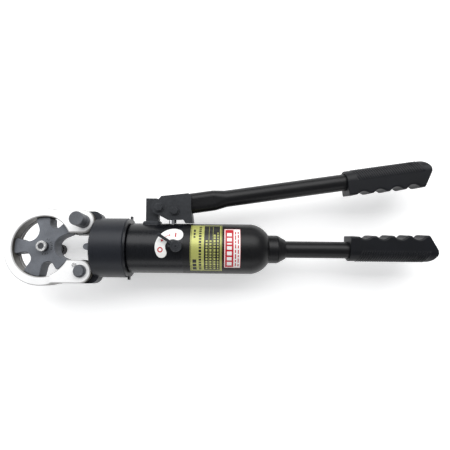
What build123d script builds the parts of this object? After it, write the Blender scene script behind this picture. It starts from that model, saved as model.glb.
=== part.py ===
from build123d import *
import math
import os

# Hydraulic crimping tool with a swivelling head, a turning five-nest die wheel and a hand pump.
# All sizes are in millimetres.
#
# Working frame: X runs along the tool axis from the head to the handles and is zero at the die
# wheel's centre, Y points to the pump lever, Z points to the side that carries the release
# lever. The finished tool is moved so that the origin is the middle of its box's lowest face.

# ---- driving sizes ----------------------------------------------------------------------------
head_turn = 9.0             # the head is stored swivelled by this angle on the pump body
die_bore_r = 39.8           # round opening that the die wheel's tips bear against
body_r = 33.0               # pump body and reservoir
tube_r = 11.1               # tubes of both handles
sleeve_length = 42.3

# ---- head -------------------------------------------------------------------------------------
ring_wall = 11.2            # metal round the opening at the blind end
ring_thickness = 24.6
cheek_thickness = 38.0      # the two arms together, over both fork plates
cheek_start = 16.0          # where the thicker arms begin, measured from the die centre
arm_outer = body_r + 14.5    # half height over the arms
throat_half = 17.8          # half width of the opening between the arms
pin_x = die_bore_r + 14.3
pin_y = (arm_outer + throat_half) / 2 - 0.65
tongue_thickness = 17.6
tongue_gap = 0.2            # side clearance of each tongue in its fork
fork_depth_x = 36.0         # bottom of the fork slots
tongue_end_r = 15.0
yoke_edge = 1.2             # broken edges of the yoke

# ---- die wheel --------------------------------------------------------------------------------
wheel_thickness = 21.0
wheel_recess = 5.7          # the wheel's face lies this far below the ring's face
wheel_clearance = 0.06      # running fit of the tips in the ring
wheel_edge = 0.8
tip_corner_r = 2.5
# nests: direction, distance of the arc's centre from the wheel's centre, arc radius
nests = [
    (1.0, 28.4, 15.0),
    (68.0, 34.8, 7.8),
    (137.3, 30.7, 14.0),
    (212.7, 30.6, 9.1),
    (283.0, 28.6, 8.2),
]
nest_flare = 22.0           # the flanks open outwards by this angle beyond the arc
flat_tip_angle = -43.0      # this tip is ground flat and doesn't bear
flat_tip_distance = die_bore_r - 4.6
axle_r = 5.0
axle_front = 17.0
axle_back = -48.0
axle_stem_r = 4.0
axle_collar_r = 6.8
knob_r = 8.0
knob_length = 13.0
ball_r = 2.2
ball_groove_clearance = 0.3
ball_proud = 0.8            # how far a ball stands out of its tip
detent_tips = [178.0, 249.0]

# ---- pins of the head -------------------------------------------------------------------------
latch_r = 8.8
latch_front = 44.0
latch_back = -21.0
hinge_r = 6.4
hinge_front = 26.0
hinge_collar_r = 8.0
pin_fit = 0.05              # running clearance of pins in their holes

# ---- nose sleeve and swivel -------------------------------------------------------------------
sleeve_r = body_r + 6.3
sleeve_start = pin_x + 14.7
sleeve_front_wall = 7.2
tongue_root = sleeve_start + 6.2
tongue_corner_r = 11.0
swivel_ring_length = 2.5
swivel_ring_r = sleeve_r - 1.1
swivel_lug_height = 4.0
spigot_r = body_r - 3.0
spigot_clearance = 0.05
clip_wire_r = 1.2

# ---- pump body --------------------------------------------------------------------------------
body_start = sleeve_start + sleeve_length + swivel_ring_length + 0.4
body_end = body_start + 70.5
cylinder_r = body_r - 9.0
cylinder_end = body_start + 36.0
rear_spigot_r = body_r - 6.0
rear_spigot_length = 12.0
snout_r = 13.0
snout_length = 16.0

# ---- ram --------------------------------------------------------------------------------------
piston_length = 20.0
piston_back = cylinder_end - 1.5
piston_fit = 0.05
ram_r = cylinder_r - 7.0
ram_bore_gap = 0.3
punch_tip = die_bore_r + 13.5
punch_nose_r = 4.2
punch_half_width = ram_r - 4.0
punch_root_half = 6.5
punch_length = 13.7         # how far the punch stands out of the ram
ram_front = punch_tip + punch_length
punch_shank_r = 6.0
punch_shank_length = 14.0
spring_wire_r = 1.7
return_spring_turns = 5

# ---- pump lever gear --------------------------------------------------------------------------
pivot_x = body_start + 38.0
pivot_y = body_r + 21.2
link_x = pivot_x + 20.2
link_y = pivot_y - 4.0
post_left = pivot_x - 18.4
post_right = pivot_x - 1.0
post_top = pivot_y + 11.9
post_half = 6.0
post_eye_r = 9.5
link_pin_r = 4.0
fork_half = 13.0            # half thickness of the lever bracket
fork_slot_half = 6.4        # half width of the slot in the bracket
washer_r = 6.3
washer_thickness = 1.2
screw_head_r = 4.4
screw_head_height = 3.2
screw_shank_r = 2.5
plunger_x = link_x - 3.8
plunger_r = 5.0
plunger_bottom = -4.0
plunger_fit = 0.04
plunger_neck_top = body_r + 8.0
plunger_head_half = 6.1
plunger_head_width = 18.0
link_slot_x = link_x - 0.9  # middle of the link pin's path along X
link_slot_clearance = 0.35  # the link pin rides in a slot that takes up the arc of its path
link_slot_play = 2.2

# ---- valves in the pump body ------------------------------------------------------------------
valve_ball_r = 2.5
valve_bore_r = 3.4
passage_y = -7.0            # height of the suction and delivery passages
plunger_bore_bottom = -16.0
gallery_r = 1.3
valve_spring_wire_r = 0.35
delivery_plug_length = 2.2
delivery_end = plunger_x - plunger_r - 1.6
release_x = plunger_x + 9.3
release_y = 5.3
release_seat = 8.5          # height of the release ball's seat
release_spindle_r = 4.0
release_hub_r = 7.2
release_hub_base = body_r + 0.8
release_hub_top = release_hub_base + 6.7
release_arm_length = 25.6
release_arm_width = 3.6
release_arm_angle = 147.0
release_seal_z = body_r - 8.0
crescent_mid_r = 16.0       # white crescent behind the release lever
crescent_width = 13.0
crescent_offset_x = -4.6
crescent_offset_y = -1.4
relief_x = pivot_x + 8.0
relief_y = -2.0
relief_r = 4.5
relief_seat = 19.0 - body_r  # height of the relief ball's seat
relief_spring_length = 7.3

# ---- reservoir --------------------------------------------------------------------------------
reservoir_wall = 3.0
reservoir_end = body_end + 88.4
dome_end = reservoir_end + 22.8
neck_r = tube_r + 7.4
neck_end = dome_end + 11.7
taper_end = neck_end + 11.1
bladder_wall = 1.6
bladder_r = body_r - 7.0
label_thickness = 0.35
# plates on the reservoir: start, end, lower and upper edge as angles round the body
rating_span = (body_end + 10.0, body_end + 50.0, -54.0, 69.0)
caution_span = (body_end + 52.7, body_end + 73.3, -42.0, 53.0)

# ---- handles ----------------------------------------------------------------------------------
tube_wall = 2.4
grip_start = taper_end + 83.5
grip_end = grip_start + 114.6
grip_crest = tube_r + 9.1    # height of the finger crests over the tube's axis
grip_belly = tube_r + 3.4    # the round underside below the axis
grip_width = 2 * tube_r + 6.8
grip_edge_r = 2.0
grip_groove_pitch = 23.1
grip_groove_depth = 4.4
grip_groove_width = 17.0
grip_crest_r = 4.0
grip_rib_count = 28
grip_rib_height = 0.6
grip_rib_width = 1.6
grip_rib_slant = 20.0
lever_start_x = pivot_x + 40.5
lever_start_y = pivot_y + 5.8
lever_angle = 8.5
lever_tube_length = 309.0
lever_flat_height = 2 * tube_r + 4.8
lever_flat_width = 2 * tube_r - 4.2
lever_flat_length = 31.0
lever_blend_end = 47.0
lever_grip_start = 206.8
lever_grip_length = 111.0
lever_groove_pitch = 21.9


# ---- shared shapes ----------------------------------------------------------------------------
def rod_x(radius, start, end, y=0.0, z=0.0):
    """A round bar along X."""
    bar = Cylinder(radius, end - start, align=(Align.CENTER, Align.CENTER, Align.MIN))
    return Pos(start, y, z) * Rot(0, 90, 0) * bar


def rod_y(radius, start, end, x=0.0, z=0.0):
    """A round bar along Y."""
    bar = Cylinder(radius, end - start, align=(Align.CENTER, Align.CENTER, Align.MIN))
    return Pos(x, start, z) * Rot(-90, 0, 0) * bar


def rod_z(radius, start, end, x=0.0, y=0.0):
    """A round bar along Z."""
    bar = Cylinder(radius, end - start, align=(Align.CENTER, Align.CENTER, Align.MIN))
    return Pos(x, y, start) * bar


def block(x0, x1, y0, y1, z0, z1):
    """A box between two corners."""
    size = Box(x1 - x0, y1 - y0, z1 - z0)
    return Pos((x0 + x1) / 2, (y0 + y1) / 2, (z0 + z1) / 2) * size


def turned_x(points):
    """A solid of revolution about X from (x, radius) corners."""
    outline = make_face(Polyline(*[(x, r) for x, r in points], close=True))
    return revolve(outline, axis=Axis.X)


def plate_z(face, z0, z1):
    """A flat face in the XY plane made into a plate between two heights."""
    return Pos(0, 0, z0) * extrude(face, amount=z1 - z0, dir=(0, 0, 1))


def helix_wire(mean_r, wire_r, length, turns):
    """A round-wire coil spring along Z, from z = 0, with its whole wire inside its length."""
    rise = length - 2 * wire_r
    path = Helix(pitch=rise / turns, height=rise, radius=mean_r)
    start = path @ 0
    section = Plane(origin=start, z_dir=path % 0) * Circle(wire_r)
    return Pos(0, 0, wire_r) * sweep(section, path=path)


def hex_prism_z(across, z0, z1, x=0.0, y=0.0):
    """A hexagonal bar along Z."""
    outline = RegularPolygon(across / 2, 6, major_radius=False)
    return Pos(x, y, z0) * extrude(outline, amount=z1 - z0, dir=(0, 0, 1))


def polar(radius, angle):
    """The point at this radius and direction in the XY plane."""
    return (radius * math.cos(math.radians(angle)), radius * math.sin(math.radians(angle)))


wheel_front = ring_thickness / 2 - wheel_recess
wheel_back = wheel_front - wheel_thickness
wheel_mid = (wheel_front + wheel_back) / 2
wheel_r = die_bore_r - wheel_clearance
ball_centre_r = wheel_r + ball_proud - ball_r


# ---- head pieces, in the head's own frame -----------------------------------------------------
def make_yoke():
    """Ring with two forked arms that carry the pins."""
    outer_r = die_bore_r + ring_wall
    arm_mid = (arm_outer + throat_half) / 2
    arm_end_r = (arm_outer - throat_half) / 2
    arm_end_x = pin_x - 1.5

    def outline():
        ring = Circle(outer_r)
        bars = Rectangle(arm_end_x, 2 * arm_outer, align=(Align.MIN, Align.CENTER))
        ends = [Pos(arm_end_x, s * arm_mid) * Circle(arm_end_r) for s in (1, -1)]
        return ring + bars + ends[0] + ends[1]

    opening = Circle(die_bore_r)
    throat = Rectangle(2 * outer_r, 2 * throat_half, align=(Align.MIN, Align.CENTER))
    flat = outline() - opening - throat
    thick = flat & (Pos(cheek_start, 0) * Rectangle(
        2 * outer_r, 4 * outer_r, align=(Align.MIN, Align.CENTER)))
    yoke = plate_z(flat, -ring_thickness / 2, ring_thickness / 2)
    yoke += plate_z(thick, -cheek_thickness / 2, cheek_thickness / 2)
    levels = (ring_thickness / 2, cheek_thickness / 2)
    rims = [
        edge for edge in yoke.edges()
        if any(abs(abs(edge.center().Z) - level) < 0.01 for level in levels)
        and edge.bounding_box().size.Z < 0.01
        and edge.length > yoke_edge
        and abs(edge.center().X - cheek_start) > 0.01
    ]
    yoke = chamfer(rims, yoke_edge)
    half_slot = tongue_thickness / 2 + tongue_gap
    yoke -= block(fork_depth_x, 2 * outer_r, -outer_r, outer_r, -half_slot, half_slot)
    yoke -= rod_z(latch_r + pin_fit, -cheek_thickness, cheek_thickness, pin_x, pin_y)
    yoke -= rod_z(hinge_r + pin_fit, -cheek_thickness, cheek_thickness, pin_x, -pin_y)
    yoke -= Pos(0, 0, wheel_mid) * Torus(ball_centre_r, ball_r + ball_groove_clearance)
    lock_x, lock_y = lock_screw_place()
    yoke -= rod_z(screw_shank_r, cheek_thickness / 2 - 8, cheek_thickness, lock_x, lock_y)
    return yoke


def lock_screw_place():
    """Centre of the small screw that overlaps the hinge pin's collar."""
    across = (hinge_collar_r + 3.0) * math.sqrt(0.5)
    return (pin_x - across, -pin_y + across)


def wheel_outline():
    """Die wheel seen from the front."""
    face = Circle(wheel_r)
    spread = math.tan(math.radians(nest_flare))
    for angle, distance, radius in nests:
        # the flanks start where they are tangent to the arc
        side = radius * math.cos(math.radians(nest_flare))
        start = distance - radius * math.sin(math.radians(nest_flare))
        reach = wheel_r + 5 - start
        mouth = side + reach * spread
        flare = make_face(Polyline(
            (start, side), (start + reach, mouth), (start + reach, -mouth), (start, -side),
            close=True))
        face -= Rot(0, 0, angle) * (Pos(distance, 0) * Circle(radius) + flare)
    x, y = polar(flat_tip_distance + 10, flat_tip_angle)
    face -= Pos(x, y) * Rot(0, 0, flat_tip_angle) * Rectangle(20, 40)
    return face


def make_die_wheel():
    """Five-nest die wheel with a bore for its axle and pockets for the detent balls."""
    wheel = plate_z(wheel_outline(), wheel_back, wheel_front)
    tips = [
        edge for edge in wheel.edges().filter_by(Axis.Z)
        if math.hypot(edge.center().X, edge.center().Y) > flat_tip_distance
    ]
    wheel = fillet(tips, tip_corner_r)
    rims = wheel.edges().group_by(Axis.Z)
    wheel = chamfer(rims[0] + rims[-1], wheel_edge)
    wheel -= rod_z(axle_r + pin_fit, wheel_back - 1, wheel_front + 1)
    for angle in detent_tips:
        pocket = rod_x(ball_r + pin_fit, ball_centre_r - 12, wheel_r + 5, 0, wheel_mid)
        wheel -= Rot(0, 0, angle) * pocket
    return wheel


def make_detent_balls():
    """Balls that ride in the groove round the ring's bore and keep the wheel in it."""
    x = ball_centre_r
    return [Rot(0, 0, a) * Pos(x, 0, wheel_mid) * Sphere(ball_r) for a in detent_tips]


def make_detent_springs():
    """Springs under the detent balls."""
    length = 12 - ball_r - 0.1
    coil = helix_wire(ball_r - 0.6, 0.4, length, 6)
    seat_x = ball_centre_r - 12
    return [Rot(0, 0, a) * Pos(seat_x, 0, wheel_mid) * Rot(0, 90, 0) * coil for a in detent_tips]


def make_wheel_axle():
    """Pin through the die wheel, with a thinner stem in front."""
    shaft = rod_z(axle_r, axle_back + 3, wheel_front)
    stem = rod_z(axle_stem_r, wheel_front, axle_front)
    axle = shaft + stem
    return chamfer(axle.edges().sort_by(Axis.Z)[-1], 0.6)


def make_axle_spacer():
    """Dark spacer between the wheel and the front nut."""
    base = rod_z(axle_r + 1.4, wheel_front, wheel_front + 1.4)
    neck = rod_z(axle_r + 0.4, wheel_front + 1.4, axle_front - 4.6)
    return base + neck - rod_z(axle_stem_r, wheel_front - 1, axle_front)


def make_axle_nut():
    """Round bright nut on the front end of the axle."""
    nut = rod_z(axle_collar_r, axle_front - 4.6, axle_front - 0.7)
    nut = chamfer(nut.edges().filter_by(GeomType.CIRCLE), 0.7)
    return nut - rod_z(axle_stem_r, axle_front - 6, axle_front + 1)


def make_axle_washer():
    """Washer between the wheel's back and the knob's spacer tube."""
    ring = rod_z(axle_r + 4, wheel_back - 1.5, wheel_back)
    return ring - rod_z(axle_r, wheel_back - 2, wheel_back + 1)


def make_knob_tube():
    """Spacer tube that carries the knob clear of the yoke."""
    top = wheel_back - 1.5
    tube = rod_z(axle_r + 1.6, axle_back + knob_length, top)
    return tube - rod_z(axle_r, axle_back, top + 1)


def make_axle_knob():
    """Fluted knob that turns the die wheel from behind."""
    knob = rod_z(knob_r, axle_back, axle_back + knob_length)
    knob = chamfer(knob.edges().filter_by(GeomType.CIRCLE), 1.0)
    flutes = 12
    for n in range(flutes):
        x, y = polar(knob_r + 0.5, n * 360 / flutes)
        knob -= rod_z(1.2, axle_back - 1, axle_back + knob_length + 1, x, y)
    return knob - rod_z(axle_r, axle_back + 3, axle_back + knob_length + 1)


def make_latch_pin():
    """Pull-out pin with a waisted handle end."""
    pin = rod_z(latch_r, latch_back, latch_front, pin_x, pin_y)
    pin = chamfer(pin.edges().filter_by(GeomType.CIRCLE), 0.6)
    waist = cheek_thickness / 2 + 11
    ring = Pos(pin_x, pin_y, waist) * Torus(latch_r + 2.0, 3.0)
    return pin - ring


def make_hinge_pin():
    """Fixed pin that the yoke swings on once the latch pin is out."""
    pin = rod_z(hinge_r, -cheek_thickness / 2 - 4, hinge_front, pin_x, -pin_y)
    pin = chamfer(pin.edges().filter_by(GeomType.CIRCLE), 0.5)
    groove = rod_z(hinge_r + 1, -cheek_thickness / 2 - 2.4, -cheek_thickness / 2 - 1.0,
                   pin_x, -pin_y)
    groove -= rod_z(hinge_r - 1, -cheek_thickness, 0, pin_x, -pin_y)
    return pin - groove


def make_hinge_collar():
    """Thin collar under the hinge pin's front end."""
    low = cheek_thickness / 2
    ring = rod_z(hinge_collar_r, low, low + 2.2, pin_x, -pin_y)
    return ring - rod_z(hinge_r, low - 1, low + 3, pin_x, -pin_y)


def make_hinge_clip():
    """Snap ring in the groove at the back end of the hinge pin."""
    low = -cheek_thickness / 2 - 2.3
    ring = rod_z(hinge_r + 2.2, low, low + 1.2, pin_x, -pin_y)
    ring -= rod_z(hinge_r - 0.9, low - 1, low + 3, pin_x, -pin_y)
    return ring - block(pin_x, pin_x + 20, -pin_y - 1.6, -pin_y + 1.6, low - 1, low + 3)


def make_lock_screw():
    """Small screw beside the hinge pin."""
    x, y = lock_screw_place()
    base = cheek_thickness / 2
    head = rod_z(2.9, base, base + 2.0, x, y)
    head = chamfer(head.edges().sort_by(Axis.Z)[-1], 0.6)
    shank = rod_z(screw_shank_r - 0.1, base - 7, base, x, y)
    slot = block(x - 4, x + 4, y - 0.4, y + 0.4, base + 1.2, base + 3)
    return head + shank - slot


def make_nose_sleeve():
    """Black sleeve that turns on the pump body, with two tongues for the yoke's pins."""
    end = sleeve_start + sleeve_length
    sleeve = rod_x(sleeve_r, sleeve_start, end)
    rims = sleeve.edges().filter_by(GeomType.CIRCLE)
    sleeve = chamfer(rims, 1.6)
    half = tongue_thickness / 2
    inner = throat_half + 0.4
    for side in (1, -1):
        eye = Pos(pin_x, side * pin_y) * Circle(tongue_end_r)
        low = min(side * inner, side * arm_outer)
        bar = Pos(pin_x, low) * Rectangle(
            tongue_root - pin_x, arm_outer - inner, align=(Align.MIN, Align.MIN))
        bar = fillet(bar.vertices().group_by(Axis.X)[-1].sort_by(Axis.Y)[-1 if side > 0 else 0],
                     tongue_corner_r)
        root = Pos(pin_x, min(side * inner, side * (sleeve_r - 2))) * Rectangle(
            sleeve_start + 10 - pin_x, sleeve_r - 2 - inner, align=(Align.MIN, Align.MIN))
        sleeve += plate_z(eye + bar + root, -half, half)
    bore_end = sleeve_start + sleeve_front_wall
    sleeve -= rod_x(spigot_r + spigot_clearance, bore_end, end + 1)
    sleeve -= rod_x(ram_r + ram_bore_gap, 0, bore_end + 1)
    sleeve -= rod_z(latch_r + pin_fit, -half - 1, half + 1, pin_x, pin_y)
    sleeve -= rod_z(hinge_r + pin_fit, -half - 1, half + 1, pin_x, -pin_y)
    return sleeve - wire_groove()


def clip_x():
    """Where the swivel's retaining wire sits."""
    return sleeve_start + sleeve_length - 9


def wire_groove():
    """Square groove half in the sleeve and half in the spigot."""
    half = clip_wire_r + 0.05
    low = spigot_r - half
    high = spigot_r + half
    start = clip_x() - half
    end = clip_x() + half
    return turned_x([(start, low), (end, low), (end, high), (start, high)])


def make_swivel_wire():
    """Round wire that keeps the sleeve on the pump body and lets it turn."""
    return Pos(clip_x(), 0, 0) * Rot(0, 90, 0) * Torus(spigot_r, clip_wire_r)


def make_swivel_ring():
    """Thin ring behind the sleeve with two lugs."""
    start = sleeve_start + sleeve_length
    end = start + swivel_ring_length
    ring = rod_x(swivel_ring_r, start, end)
    for side in (1, -1):
        low = min(side * (swivel_ring_r - 2), side * (swivel_ring_r + swivel_lug_height))
        ring += block(start, end, low, low + swivel_lug_height + 2, -3, 3)
    return ring - rod_x(spigot_r + spigot_clearance, start - 1, end + 1)


def make_ram():
    """Piston and ram in one piece."""
    piston_front = piston_back - piston_length
    piston = rod_x(cylinder_r - piston_fit, piston_front, piston_back)
    shaft = rod_x(ram_r, ram_front, piston_front)
    ram = piston + shaft
    ram = chamfer(ram.edges().group_by(Axis.X)[0], 1.2)
    groove = turned_x([
        (piston_back - 12, cylinder_r - 4), (piston_back - 6, cylinder_r - 4),
        (piston_back - 6, cylinder_r + 1), (piston_back - 12, cylinder_r + 1)])
    ram -= groove
    ram -= rod_x(punch_shank_r, ram_front - 1, ram_front + punch_shank_length + 1)
    return ram


def make_piston_seal():
    """Rubber ring in the piston's groove."""
    return turned_x([
        (piston_back - 11.9, cylinder_r - 4), (piston_back - 8.2, cylinder_r - 4),
        (piston_back - 8.2, cylinder_r - 0.06), (piston_back - 11.9, cylinder_r - 0.06)])


def make_backup_ring():
    """Hard ring that stops the seal from squeezing out."""
    return turned_x([
        (piston_back - 8.1, cylinder_r - 4), (piston_back - 6.1, cylinder_r - 4),
        (piston_back - 6.1, cylinder_r - 0.06), (piston_back - 8.1, cylinder_r - 0.06)])


def make_punch():
    """Wedge with a round nose that presses the sleeve into the facing nest."""
    nose_x = punch_tip + punch_nose_r
    nose = Pos(nose_x, 0) * Circle(punch_nose_r)
    flank = make_face(Polyline(
        (nose_x - 0.6, punch_nose_r * 0.99), (ram_front, punch_root_half),
        (ram_front, -punch_root_half), (nose_x - 0.6, -punch_nose_r * 0.99), close=True))
    body = plate_z(nose + flank, -punch_half_width, punch_half_width)
    body &= rod_x(ram_r - 1.5, 0, ram_front)
    return body + rod_x(punch_shank_r - 0.05, ram_front, ram_front + punch_shank_length)


def make_return_spring():
    """Spring that pushes the piston back."""
    start = sleeve_start + sleeve_front_wall
    length = piston_back - piston_length - start
    mean = (ram_r + cylinder_r) / 2
    coil = helix_wire(mean, spring_wire_r, length, return_spring_turns)
    return Pos(start, 0, 0) * Rot(0, 90, 0) * coil


# ---- pump body --------------------------------------------------------------------------------
def make_pump_body():
    """Cylinder and valve block in one piece, with a spigot at each end."""
    spigot_start = sleeve_start + sleeve_front_wall + 0.3
    body = rod_x(body_r, body_start, body_end)
    body = chamfer(body.edges().filter_by(GeomType.CIRCLE).sort_by(Axis.X)[0], 1.0)
    body += rod_x(spigot_r, spigot_start, body_start)
    body += rod_x(rear_spigot_r, body_end, body_end + rear_spigot_length)
    snout_start = body_end + rear_spigot_length
    body += rod_x(snout_r, snout_start, snout_start + snout_length)
    body -= rod_x(cylinder_r, spigot_start - 1, cylinder_end)
    body -= wire_groove()
    # suction passage through the rear snout, its valve pocket and the pump bore
    body -= rod_x(4.0, body_end - 2, snout_start + snout_length + 1, passage_y)
    body -= rod_x(valve_bore_r, plunger_x + 3, body_end - 2, passage_y)
    body -= rod_y(plunger_r + plunger_fit, plunger_bore_bottom, body_r + 1, plunger_x)
    # delivery passage with its valve pocket, open to the cylinder
    body -= rod_x(gallery_r, delivery_end - 1, plunger_x, passage_y)
    body -= rod_x(valve_bore_r, cylinder_end - 1, delivery_end, passage_y)
    # release valve bore from the front side, with a passage from cylinder to reservoir
    high = release_seat + valve_ball_r
    body -= rod_z(release_spindle_r + pin_fit, high + 3, body_r + 1, release_x, release_y)
    body -= rod_z(valve_ball_r + 0.1, release_seat, high + 4, release_x, release_y)
    body -= rod_x(gallery_r, cylinder_end - 1, release_x, release_y, high)
    body -= rod_x(gallery_r, release_x, body_end + rear_spigot_length + 1, release_y, high)
    # relief valve bore from the back side
    body -= rod_z(relief_r + pin_fit, -body_r - 1, relief_seat, relief_x, relief_y)
    body -= rod_x(gallery_r, cylinder_end - 1, relief_x, relief_y, relief_seat - 1.5)
    # gland recess for the plunger's seal
    body -= rod_y(plunger_r + 3, body_r - 8, body_r - 3, plunger_x)
    return body


def make_plunger_seal():
    """Rod seal of the pump plunger."""
    ring = rod_y(plunger_r + 2.95, body_r - 7.9, body_r - 3.1, plunger_x)
    return ring - rod_y(plunger_r + 0.08, body_r - 9, body_r, plunger_x)


def make_suction_ball():
    """Ball that lets oil into the pump bore."""
    return Pos(body_end - 2 - valve_ball_r, passage_y, 0) * Sphere(valve_ball_r)


def make_suction_seat():
    """Hollow screw that the suction ball closes on."""
    ring = rod_x(4.0, body_end - 2, body_end + 3, passage_y)
    return ring - rod_x(1.5, body_end - 3, body_end + 4, passage_y)


def make_delivery_ball():
    """Ball that keeps the oil in the cylinder."""
    return Pos(delivery_end - valve_ball_r, passage_y, 0) * Sphere(valve_ball_r)


def make_delivery_spring():
    """Spring behind the delivery ball."""
    start = cylinder_end + delivery_plug_length
    length = delivery_end - 2 * valve_ball_r - start - 0.1
    coil = helix_wire(valve_bore_r - 1.0, valve_spring_wire_r, length, 3)
    return Pos(start, passage_y, 0) * Rot(0, 90, 0) * coil


def make_delivery_plug():
    """Hollow plug that holds the delivery spring."""
    end = cylinder_end + delivery_plug_length
    plug = rod_x(valve_bore_r, cylinder_end + 0.2, end, passage_y)
    return plug - rod_x(1.2, cylinder_end - 1, end + 1, passage_y)


def make_relief_ball():
    """Ball of the pressure relief valve."""
    return Pos(relief_x, relief_y, relief_seat - valve_ball_r) * Sphere(valve_ball_r)


def make_relief_spring():
    """Stiff spring of the relief valve."""
    coil = helix_wire(relief_r - 1.4, 0.8, relief_spring_length, 3)
    return Pos(relief_x, relief_y, relief_spring_foot()) * coil


def relief_spring_foot():
    """Height of the relief spring's lower end."""
    return relief_seat - 2 * valve_ball_r - 0.1 - relief_spring_length


def make_relief_screw():
    """Slotted screw that sets the relief pressure."""
    high = relief_spring_foot()
    low = high - 5
    screw = rod_z(relief_r, low, high, relief_x, relief_y)
    return screw - block(
        relief_x - 6, relief_x + 6, relief_y - 0.6, relief_y + 0.6, low - 1, low + 1.5)


def make_release_ball():
    """Ball that the release spindle holds on its seat."""
    return Pos(release_x, release_y, release_seat + 0.1 + valve_ball_r) * Sphere(valve_ball_r)


def make_release_spindle():
    """Spindle of the release valve."""
    low = release_seat + 2 * valve_ball_r + 0.6
    spindle = rod_z(release_spindle_r, low, release_hub_base, release_x, release_y)
    spindle += rod_z(3.0, release_hub_base, release_hub_top - 2.5, release_x, release_y)
    z = release_seal_z
    groove = rod_z(release_spindle_r + 1, z - 1, z + 1, release_x, release_y)
    groove -= rod_z(release_spindle_r - 1.2, z - 2, z + 2, release_x, release_y)
    spindle -= groove
    return spindle - rod_z(1.6, release_hub_base - 6, release_hub_top, release_x, release_y)


def make_release_seal():
    """Rubber ring on the release spindle."""
    z = release_seal_z
    ring = rod_z(release_spindle_r - 0.02, z - 0.9, z + 0.9, release_x, release_y)
    return ring - rod_z(release_spindle_r - 1.2, z - 2, z + 2, release_x, release_y)


def make_release_lever():
    """Round hub with a thin thumb arm and a short stop lug."""
    hub = rod_z(release_hub_r, release_hub_base, release_hub_top, release_x, release_y)
    hub = chamfer(hub.edges().filter_by(GeomType.CIRCLE), 0.8)
    low = release_hub_base + 2.2
    high = low + 2.6
    arm = Rectangle(release_arm_length, release_arm_width, align=(Align.MIN, Align.CENTER))
    arm += Pos(release_arm_length, 0) * Circle(release_arm_width / 2 + 0.5)
    lug = Rot(0, 0, 180 - release_arm_angle) * Pos(release_hub_r + 1.2, 0) * Rectangle(3.4, 2.4)
    solid = plate_z(arm + lug, low, high)
    hub += Pos(release_x, release_y, 0) * Rot(0, 0, release_arm_angle) * solid
    hub -= rod_z(3.0, release_hub_base - 1, release_hub_top - 2.5, release_x, release_y)
    hub -= rod_z(3.4, release_hub_top - 2.5, release_hub_top + 1, release_x, release_y)
    return hub


def make_release_screw():
    """Cross-head screw in the hub."""
    base = release_hub_top - 2.5
    head = rod_z(3.3, base, release_hub_top + 0.7, release_x, release_y)
    head = chamfer(head.edges().sort_by(Axis.Z)[-1], 0.8)
    head += rod_z(1.5, release_hub_base - 5.5, base, release_x, release_y)
    top = release_hub_top + 0.7
    for angle in (20, 110):
        slot = Rot(0, 0, angle) * Box(3.8, 0.8, 3.2)
        head -= Pos(release_x, release_y, top) * slot
    return head


def shell_patch(face):
    """The part of a thin skin on the body's front side that lies over a flat outline."""
    skin = rod_x(body_r + label_thickness, body_start + 1, reservoir_end)
    skin -= rod_x(body_r, body_start, reservoir_end + 1)
    return skin & plate_z(face, 0, 2 * body_r)


def make_release_plate():
    """Crescent plate with round ends behind the release lever."""
    path = CenterArc((0, 0), crescent_mid_r, 68.7, 139.0)
    crescent = SlotArc(path, crescent_width)
    x = release_x + crescent_offset_x
    y = release_y + crescent_offset_y
    return shell_patch(Pos(x, y) * crescent)


def plate_wrap(start, end, low, high):
    """Thin plate wrapped round the front side of the reservoir."""
    skin = rod_x(body_r + label_thickness, start, end) - rod_x(body_r, start - 1, end + 1)
    reach = 3 * body_r
    corners = [(reach * math.sin(a), reach * math.cos(a))
               for a in (math.radians(low), math.radians(high))]
    wedge = make_face(Polyline((0, 0), corners[0], (0, 2 * reach), corners[1], close=True))
    # the wedge is drawn in a plane whose first axis is Y and second axis is Z
    side = Plane(origin=(start - 1, 0, 0), x_dir=(0, 1, 0), z_dir=(1, 0, 0))
    return skin & extrude(side * wedge, amount=end - start + 2, dir=(1, 0, 0))


# ---- reservoir and lower handle ---------------------------------------------------------------
def make_reservoir():
    """Oil reservoir with a domed end and a neck for the handle tube."""
    dome_drop = body_r - neck_r
    dome = ThreePointArc(
        (reservoir_end, body_r), (reservoir_end + 12.5, body_r - 0.3 * dome_drop),
        (dome_end, neck_r))
    inner_r = body_r - reservoir_wall
    outer = [
        Line((body_end, 0), (body_end, body_r)),
        Line((body_end, body_r), (reservoir_end, body_r)),
        dome,
        Line((dome_end, neck_r), (neck_end, neck_r)),
        Line((neck_end, neck_r), (neck_end, 0)),
        Line((neck_end, 0), (body_end, 0)),
    ]
    shell = revolve(make_face(Wire(outer)), axis=Axis.X)
    back = dome_end - 6
    hollow = [
        Line((body_end - 1, 0), (body_end - 1, inner_r)),
        Line((body_end - 1, inner_r), (reservoir_end - 1, inner_r)),
        ThreePointArc(
            (reservoir_end - 1, inner_r), (reservoir_end + 9.5, inner_r - 0.3 * dome_drop),
            (back, neck_r - 5)),
        Line((back, neck_r - 5), (back, 0)),
        Line((back, 0), (body_end - 1, 0)),
    ]
    shell -= revolve(make_face(Wire(hollow)), axis=Axis.X)
    shell -= rod_x(tube_r, back + 2, neck_end + 1)
    return shell


def make_reservoir_adapter():
    """Ring that joins the reservoir to the pump body's rear spigot."""
    start = body_end
    ring = rod_x(body_r - reservoir_wall, start, start + rear_spigot_length)
    ring -= rod_x(rear_spigot_r, start - 1, start + rear_spigot_length + 1)
    groove = turned_x([
        (start + 4, body_r - reservoir_wall - 1.8), (start + 7, body_r - reservoir_wall - 1.8),
        (start + 7, body_r), (start + 4, body_r)])
    return ring - groove


def make_reservoir_seal():
    """Rubber ring between the reservoir and its adapter."""
    start = body_end
    outer = body_r - reservoir_wall
    return turned_x([
        (start + 4.1, outer - 1.8), (start + 6.9, outer - 1.8),
        (start + 6.9, outer), (start + 4.1, outer)])


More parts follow.
